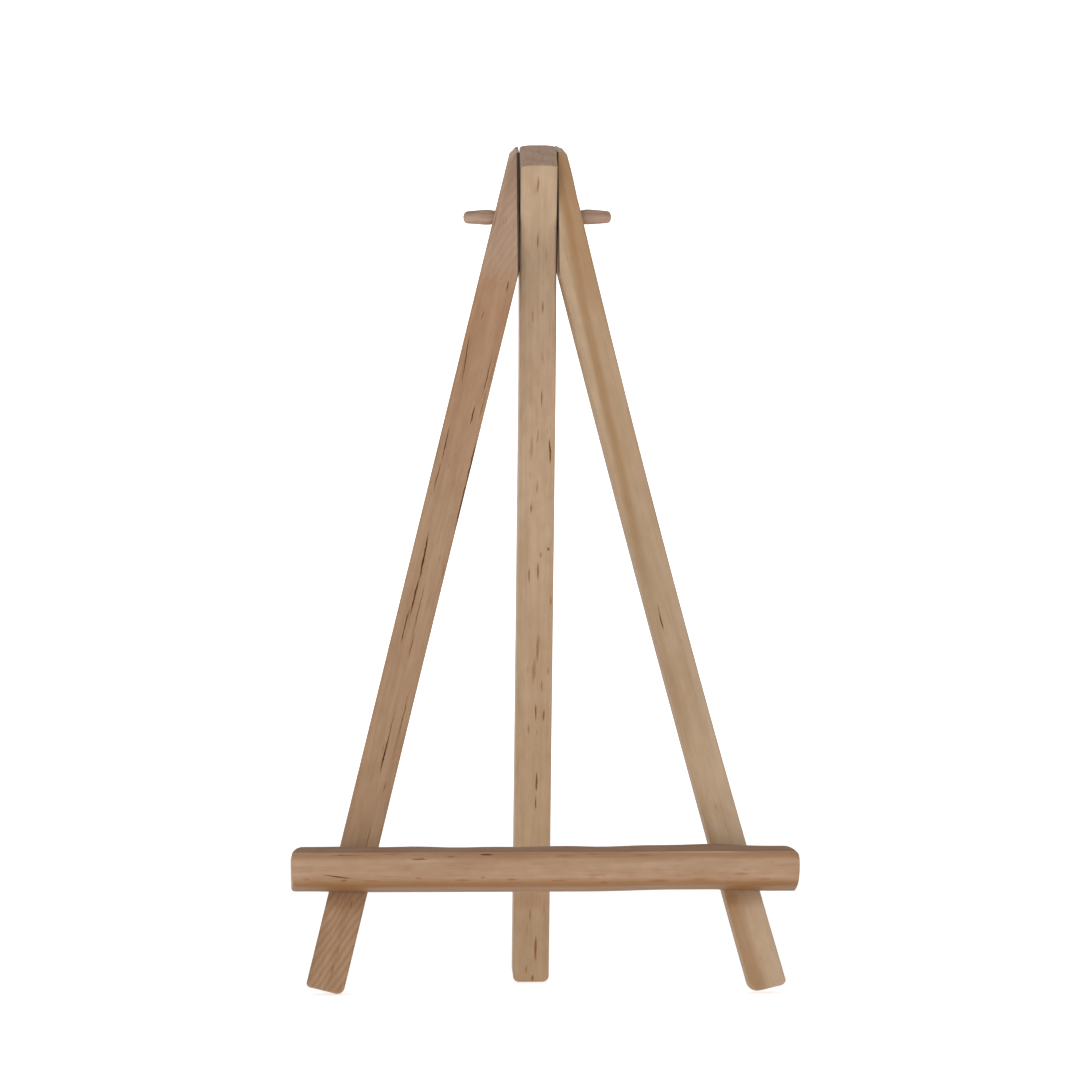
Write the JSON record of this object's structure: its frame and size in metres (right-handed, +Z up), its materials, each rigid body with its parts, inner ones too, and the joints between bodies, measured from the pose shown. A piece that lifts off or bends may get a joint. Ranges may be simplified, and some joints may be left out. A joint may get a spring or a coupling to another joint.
{
  "type": "tabletop easel",
  "caption": "Small wooden tripod easel: splayed front legs and a folding rear leg on a through-dowel, with a front ledge that holds a picture.",
  "frame": {"origin": "on the floor, under the middle of the standing easel's box", "axes": "+Z up, -Y towards the viewer (the side with the ledge), +X to the viewer's right"},
  "size_m": [0.0926, 0.0766, 0.1551],
  "materials": {
    "left_leg_wood": "unfinished, sanded",
    "right_leg_wood": "unfinished, sanded",
    "rear_leg_wood": "unfinished, sanded",
    "dowel_wood": "unfinished, sanded",
    "ledge_wood": "unfinished, planed",
    "brad_steel": "dull"
  },
  "bodies": {
    "front_frame": {"left_leg": "left_leg_wood", "right_leg": "right_leg_wood", "hinge_dowel": "dowel_wood", "ledge": "ledge_wood", "ledge_brad_left": "brad_steel", "ledge_brad_right": "brad_steel"},
    "rear_support": {"rear_leg": "rear_leg_wood"}
  },
  "joints": [
    {"name": "rear_leg_hinge", "type": "hinge", "parent": "front_frame", "child": "rear_support", "pos_m": [0, -0.0064, 0.14219], "axis": [1, 0, 0], "range_deg": [-25.4, 64.5]}
  ]
}
